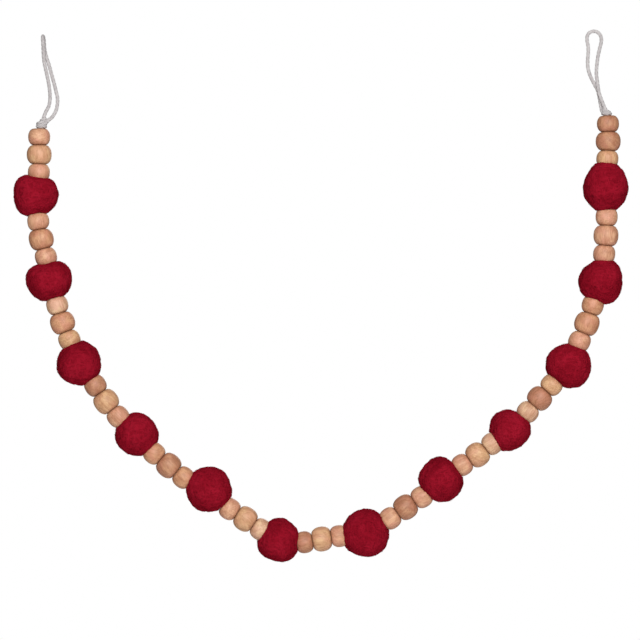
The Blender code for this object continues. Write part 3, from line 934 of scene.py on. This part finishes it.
def felt_body(name, number, seats, felt, small_width):
    """The wool of one ball: lumpy, pressed in by a bead on each side, and bored for the cord."""
    ball = BALLS[number]
    before, seat, after = seats
    side = ball.across / 2
    pole = ball.along / 2 / math.sqrt(1 - (CUP_MOUTH / side) ** 2)
    turn = seat_turn(seat)
    shape = bmesh.new()
    bmesh.ops.create_uvsphere(shape, u_segments=BODY_SIDES, v_segments=BODY_RINGS, radius=1.0)
    shape.verts.ensure_lookup_table()
    tips = [vertex for vertex in shape.verts if abs(vertex.co.z) > POLE]
    bmesh.ops.delete(shape, geom=tips, context="VERTS")
    open_wool = shape.verts.layers.float.new("open_wool")
    first, wanted = math.pi / BODY_RINGS, math.asin(BORE_RADIUS / side)
    stretch = (math.pi - 2 * wanted) / (math.pi - 2 * first)
    for vertex in shape.verts:
        polar = wanted + (math.acos(vertex.co.z) - first) * stretch
        around = math.atan2(vertex.co.y, vertex.co.x)
        wide = math.sin(polar)
        unit = Vector((wide * math.cos(around), wide * math.sin(around), math.cos(polar)))
        point = Vector((unit.x * side, unit.y * side, unit.z * pole))
        moved = point + felt_offset(ball, number, point)
        seed = Vector((7.0 * number, 0.0, 0.0))
        rough = sum(height * noise.noise(point * fineness + seed) for fineness, height in ROUGHNESS)
        moved += unit * rough * felt.lumps
        world = seat.centre + turn @ moved
        pressed = press(press(world, before, 1, small_width), after, -1, small_width)
        vertex[open_wool] = 0.0 if (pressed - world).length > PRESSED else 1.0
        vertex.co = pressed * MM
    mouths = [edge for edge in shape.edges if edge.is_boundary]
    bmesh.ops.bridge_loops(shape, edges=mouths)
    bmesh.ops.recalc_face_normals(shape, faces=shape.faces)
    shape.verts.index_update()
    faces = sorted(steady_corners(face) for face in shape.faces)
    openness = [vertex[open_wool] for vertex in shape.verts]
    mesh = bpy.data.meshes.new(name)
    mesh.from_pydata([tuple(vertex.co) for vertex in shape.verts], [], faces)
    mesh.attributes.new("open_wool", "FLOAT", "POINT").data.foreach_set("value", openness)
    shape.free()
    return mesh


def length_setting(name, description, default):
    """A length in metres that a user may change."""
    return FloatProperty(name=name, description=description, default=default, unit="LENGTH")


def colour_setting(name, description, default):
    """A colour that a user may change."""
    return FloatVectorProperty(name=name, description=description, default=default, subtype="COLOR")


def power_setting(name, description, default):
    """A light's power in watts that a user may change."""
    return FloatProperty(name=name, description=description, default=default, unit="POWER")


class GARLAND_PG_cord(bpy.types.PropertyGroup):
    """Sizes and colour of the cord"""

    width: length_setting("Cord width", "Width of the whole cord", 0.0021)
    ply_width: length_setting("Ply width", "Width of one ply", 0.00104)
    plies: IntProperty(name="Plies", description="Plies that are twisted together", default=4, min=2)
    pitch: length_setting("Pitch", "Length of one full twist", 0.0096)
    colour: colour_setting("Cotton", "Colour of the cotton", (0.67, 0.64, 0.635))


class GARLAND_PG_beads(bpy.types.PropertyGroup):
    """Sizes and wood tones of the turned beads"""

    small_width: length_setting("Small bead", "Width of a small bead", 0.0124)
    large_width: length_setting("Large bead", "Width of a large bead", 0.014)
    lip: length_setting("Lip", "Rounding of a bead's arris", 0.0006)
    sides: IntProperty(name="Sides", description="Faces round a bead", default=44, min=12)
    pale: colour_setting("Pale", "Palest wood", (0.82, 0.51, 0.325))
    golden: colour_setting("Golden", "Golden wood", (0.77, 0.445, 0.245))
    peach: colour_setting("Peach", "Pinkish wood", (0.77, 0.41, 0.253))
    tan: colour_setting("Tan", "Tan wood", (0.70, 0.35, 0.198))
    brown: colour_setting("Brown", "Darkest wood", (0.585, 0.28, 0.160))


class GARLAND_PG_felt(bpy.types.PropertyGroup):
    """Colour and fibres of the felt balls"""

    colour: colour_setting("Wool", "Colour of the felt", (0.325, 0.0076, 0.0215))
    deep_colour: colour_setting("Deep", "Colour between the fibres", (0.215, 0.0046, 0.0130))
    light_colour: colour_setting("Light", "Colour of loose fibres", (0.40, 0.014, 0.035))
    lumps: FloatProperty(
        name="Lumps", description="Share of the hand-felted lumpiness", default=1.0, min=0.0)
    fibres: FloatProperty(name="Fibres", description="Fibres on a square centimetre", default=80.0, min=0.0)
    fibre_length: length_setting("Fibre length", "Length of a fibre", 0.0026)
    fibre_width: length_setting("Fibre width", "Width of a fibre", 0.00007)
    lift: length_setting("Lift", "Height of a fibre's arch", 0.00012)


class GARLAND_PG_stage(bpy.types.PropertyGroup):
    """Camera, floor and lights"""

    distance: length_setting("Distance", "From the camera to the garland", 1.6)
    floor_drop: length_setting("Floor drop", "From the garland's lowest point to the floor", 0.9)
    floor_colour: colour_setting("Floor", "Colour of the floor", (0.82, 0.81, 0.80))
    front: power_setting("Front light", "Power of the front softbox", 21.6)
    back: power_setting("Back light", "Power of the back softbox", 9.0)
    under: power_setting("Floor light", "Power of the softbox over the floor", 9.0)
    room: FloatProperty(
        name="Room light", description="Strength of the light from all round", default=0.13, min=0.0)


def add_light(name, power, size, place, target):
    """A square softbox that isn't seen itself."""
    light = bpy.data.lights.new(name, "AREA")
    light.energy = power
    light.size = size
    thing = bpy.data.objects.new(name, light)
    bpy.context.scene.collection.objects.link(thing)
    thing.location = place
    thing.rotation_euler = (Vector(target) - Vector(place)).to_track_quat("-Z", "Y").to_euler()
    thing.visible_camera = False
    return thing


class GARLAND_OT_stage(bpy.types.Operator):
    """Set up the floor, the soft studio light and the camera"""

    bl_idname = "garland.stage"
    bl_label = "Stage"

    def execute(self, context):
        scene, stage = context.scene, context.scene.garland_stage
        scene.view_settings.view_transform = "Standard"
        middle = Vector((VIEW_MIDDLE[0] * MM, 0.0, VIEW_MIDDLE[1] * MM))
        camera = bpy.data.cameras.new("camera")
        camera.lens = camera.sensor_width * stage.distance / (VIEW_WIDTH * MM)
        viewer = bpy.data.objects.new("camera", camera)
        scene.collection.objects.link(viewer)
        viewer.location = middle - Vector((0.0, stage.distance, 0.0))
        viewer.rotation_euler = (math.pi / 2, 0.0, 0.0)
        scene.camera = viewer
        world = bpy.data.worlds.new("studio")
        world.use_nodes = True
        world.node_tree.nodes.clear()
        board = Board(world.node_tree)
        white = (1.0, 1.0, 1.0, 1.0)
        seen = board.add("ShaderNodeBackground", {}, {"Color": white, "Strength": 1.0})
        room = board.add("ShaderNodeBackground", {}, {"Color": white, "Strength": stage.room})
        straight = board.add("ShaderNodeLightPath").other("Is Camera Ray")
        both = board.add("ShaderNodeMixShader", {}, {0: straight, 1: room, 2: seen})
        board.add("ShaderNodeOutputWorld", {}, {"Surface": both})
        scene.world = world
        add_light("front_softbox", stage.front, FRONT_SIZE, middle + Vector(FRONT_PLACE), middle)
        add_light("back_softbox", stage.back, BACK_SIZE, middle + Vector(BACK_PLACE), middle)
        low = CAD_BOX[0].z
        place, target = (middle.x, 0.0, low - UNDER_DROP), (middle.x, 0.0, low - UNDER_AIM)
        add_light("floor_softbox", stage.under, UNDER_SIZE, place, target)
        disc = bmesh.new()
        bmesh.ops.create_circle(disc, cap_ends=True, segments=FLOOR_SIDES, radius=FLOOR_RADIUS)
        bmesh.ops.translate(disc, verts=disc.verts, vec=(middle.x, 0.0, low - stage.floor_drop))
        mesh = bpy.data.meshes.new("floor")
        disc.to_mesh(mesh)
        disc.free()
        mesh.materials.append(once("studio_floor", lambda: floor_material(stage.floor_colour)))
        floor = bpy.data.objects.new("floor", mesh)
        scene.collection.objects.link(floor)
        return {"FINISHED"}


class GARLAND_OT_hanging_loops(bpy.types.Operator):
    """Twist the cord of the two hanging loops"""

    bl_idname = "garland.hanging_loops"
    bl_label = "Hanging loops"

    def execute(self, context):
        cord = context.scene.garland_cord
        cotton = once("twisted_cotton", lambda: cotton_material(cord))
        recipe = cord_recipe()
        for end, route in LOOPS.items():
            points = even_points(route, ROUTE_SPACING)
            curve = curve_of(f"loop_route_{end}", [points])
            piece = recipe.make(f"cord_loop_{end}", curve, cord_values(cord, cotton))
            dress(piece, f"hanging_loop_{end}")
            points[0] * MM
            distances(points)[-1] * MM
            [point * MM for point in points]
        return {"FINISHED"}


class GARLAND_OT_end_knots(bpy.types.Operator):
    """Tie the two end knots"""

    bl_idname = "garland.end_knots"
    bl_label = "End knots"

    def execute(self, context):
        cord = context.scene.garland_cord
        cotton = once("twisted_cotton", lambda: cotton_material(cord))
        recipe = cord_recipe()
        for end in KNOT_FEET:
            curve = curve_of(f"knot_route_{end}", knot_routes(end))
            piece = recipe.make(f"tied_knot_{end}", curve, cord_values(cord, cotton))
            dress(piece, f"end_knot_{end}")
        return {"FINISHED"}


class GARLAND_OT_stringing_cord(bpy.types.Operator):
    """Give the cord inside the bores its cotton"""

    bl_idname = "garland.stringing_cord"
    bl_label = "Stringing cord"

    def execute(self, context):
        cord = context.scene.garland_cord
        cotton = once("twisted_cotton", lambda: cotton_material(cord))
        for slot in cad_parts["stringing_cord"].material_slots:
            slot.material = cotton
        return {"FINISHED"}


class GARLAND_OT_wood_beads(bpy.types.Operator):
    """Turn the wood beads on the string"""

    bl_idname = "garland.wood_beads"
    bl_label = "Wood beads"

    def execute(self, context):
        beads = context.scene.garland_beads
        recipe = bead_recipe()
        seats = string_seats()
        chance = random.Random(5)
        number = 0
        for three_number, three in enumerate(THREES):
            for index, tone in enumerate(three.tones):
                number += 1
                seat = seats[REPEAT * three_number + index]
                width = beads.large_width if index == 1 else beads.small_width
                wood = once(f"turned_wood_{tone}", lambda: wood_material(tone, getattr(beads, tone)))
                lie = chance.choice((0.0, 0.0, math.pi / 2))
                sway = [chance.uniform(-GRAIN_SWAY, GRAIN_SWAY) for _ in range(2)]
                grain_turn = (lie + sway[0], sway[1], chance.uniform(0.0, TAU))
                piece = recipe.make(f"turned_bead_{number:02d}", bpy.data.meshes.new("blank"), {
                    "Width": width, "Length": seat.length * MM, "Bore": BORE_RADIUS * MM,
                    "Face": BEAD_FACE, "Roundness": BEAD_ROUNDNESS, "Lip": beads.lip,
                    "Start Lean": seat.start_lean, "End Lean": seat.end_lean, "Sides": beads.sides,
                    "Grain Turn": grain_turn,
                    "Grain Place": [chance.uniform(-0.5, 0.5) for _ in range(3)],
                    "Place": seat.centre * MM, "Turn": seat_turn(seat).to_euler(), "Material": wood,
                })
                dress(piece, f"wood_bead_{number:02d}")
        return {"FINISHED"}


class GARLAND_OT_felt_balls(bpy.types.Operator):
    """Felt the balls on the string"""

    bl_idname = "garland.felt_balls"
    bl_label = "Felt balls"

    def execute(self, context):
        felt = context.scene.garland_felt
        small_width = context.scene.garland_beads.small_width / MM
        wool = once("matted_wool", lambda: felt_material(felt))
        recipe = fibre_recipe()
        seats = string_seats()
        for number in range(len(BALLS)):
            first = REPEAT * number + 2
            name = f"wool_ball_{number + 1:02d}"
            body = felt_body(f"{name}_body", number, seats[first : first + 3], felt, small_width)
            piece = recipe.make(name, body, {
                "Density": felt.fibres * CENTIMETRES, "Fibre Length": felt.fibre_length,
                "Fibre Width": felt.fibre_width, "Lift": felt.lift, "Seed": number, "Material": wool,
            })
            dress(piece, f"felt_ball_{number + 1:02d}")
        return {"FINISHED"}


class GARLAND_PT_sidebar(bpy.types.Panel):
    """The garland's pieces and settings"""

    bl_idname = "GARLAND_PT_sidebar"
    bl_label = "Felt ball garland"
    bl_space_type = "VIEW_3D"
    bl_region_type = "UI"
    bl_category = "Garland"

    def draw(self, context):
        for operator in OPERATORS:
            self.layout.operator(operator.bl_idname)
        for name in SETTINGS:
            group = getattr(context.scene, name)
            box = self.layout.box()
            for prop in group.__annotations__:
                box.prop(group, prop)


SETTINGS = {
    "garland_cord": GARLAND_PG_cord,
    "garland_beads": GARLAND_PG_beads,
    "garland_felt": GARLAND_PG_felt,
    "garland_stage": GARLAND_PG_stage,
}
OPERATORS = (
    GARLAND_OT_stage,
    GARLAND_OT_hanging_loops,
    GARLAND_OT_end_knots,
    GARLAND_OT_stringing_cord,
    GARLAND_OT_wood_beads,
    GARLAND_OT_felt_balls,
)
CLASSES = (*SETTINGS.values(), *OPERATORS, GARLAND_PT_sidebar)


def register():
    for item in CLASSES:
        bpy.utils.register_class(item)
    for name, group in SETTINGS.items():
        setattr(bpy.types.Scene, name, PointerProperty(type=group))


def unregister():
    for name in SETTINGS:
        delattr(bpy.types.Scene, name)
    for item in reversed(CLASSES):
        bpy.utils.unregister_class(item)


def main():
    """Dress the garland piece by piece."""
    register()
    bpy.ops.garland.stage()
    bpy.ops.garland.hanging_loops()
    bpy.ops.garland.end_knots()
    bpy.ops.garland.stringing_cord()
    bpy.ops.garland.wood_beads()
    bpy.ops.garland.felt_balls()


if __name__ == "__main__":
    main()
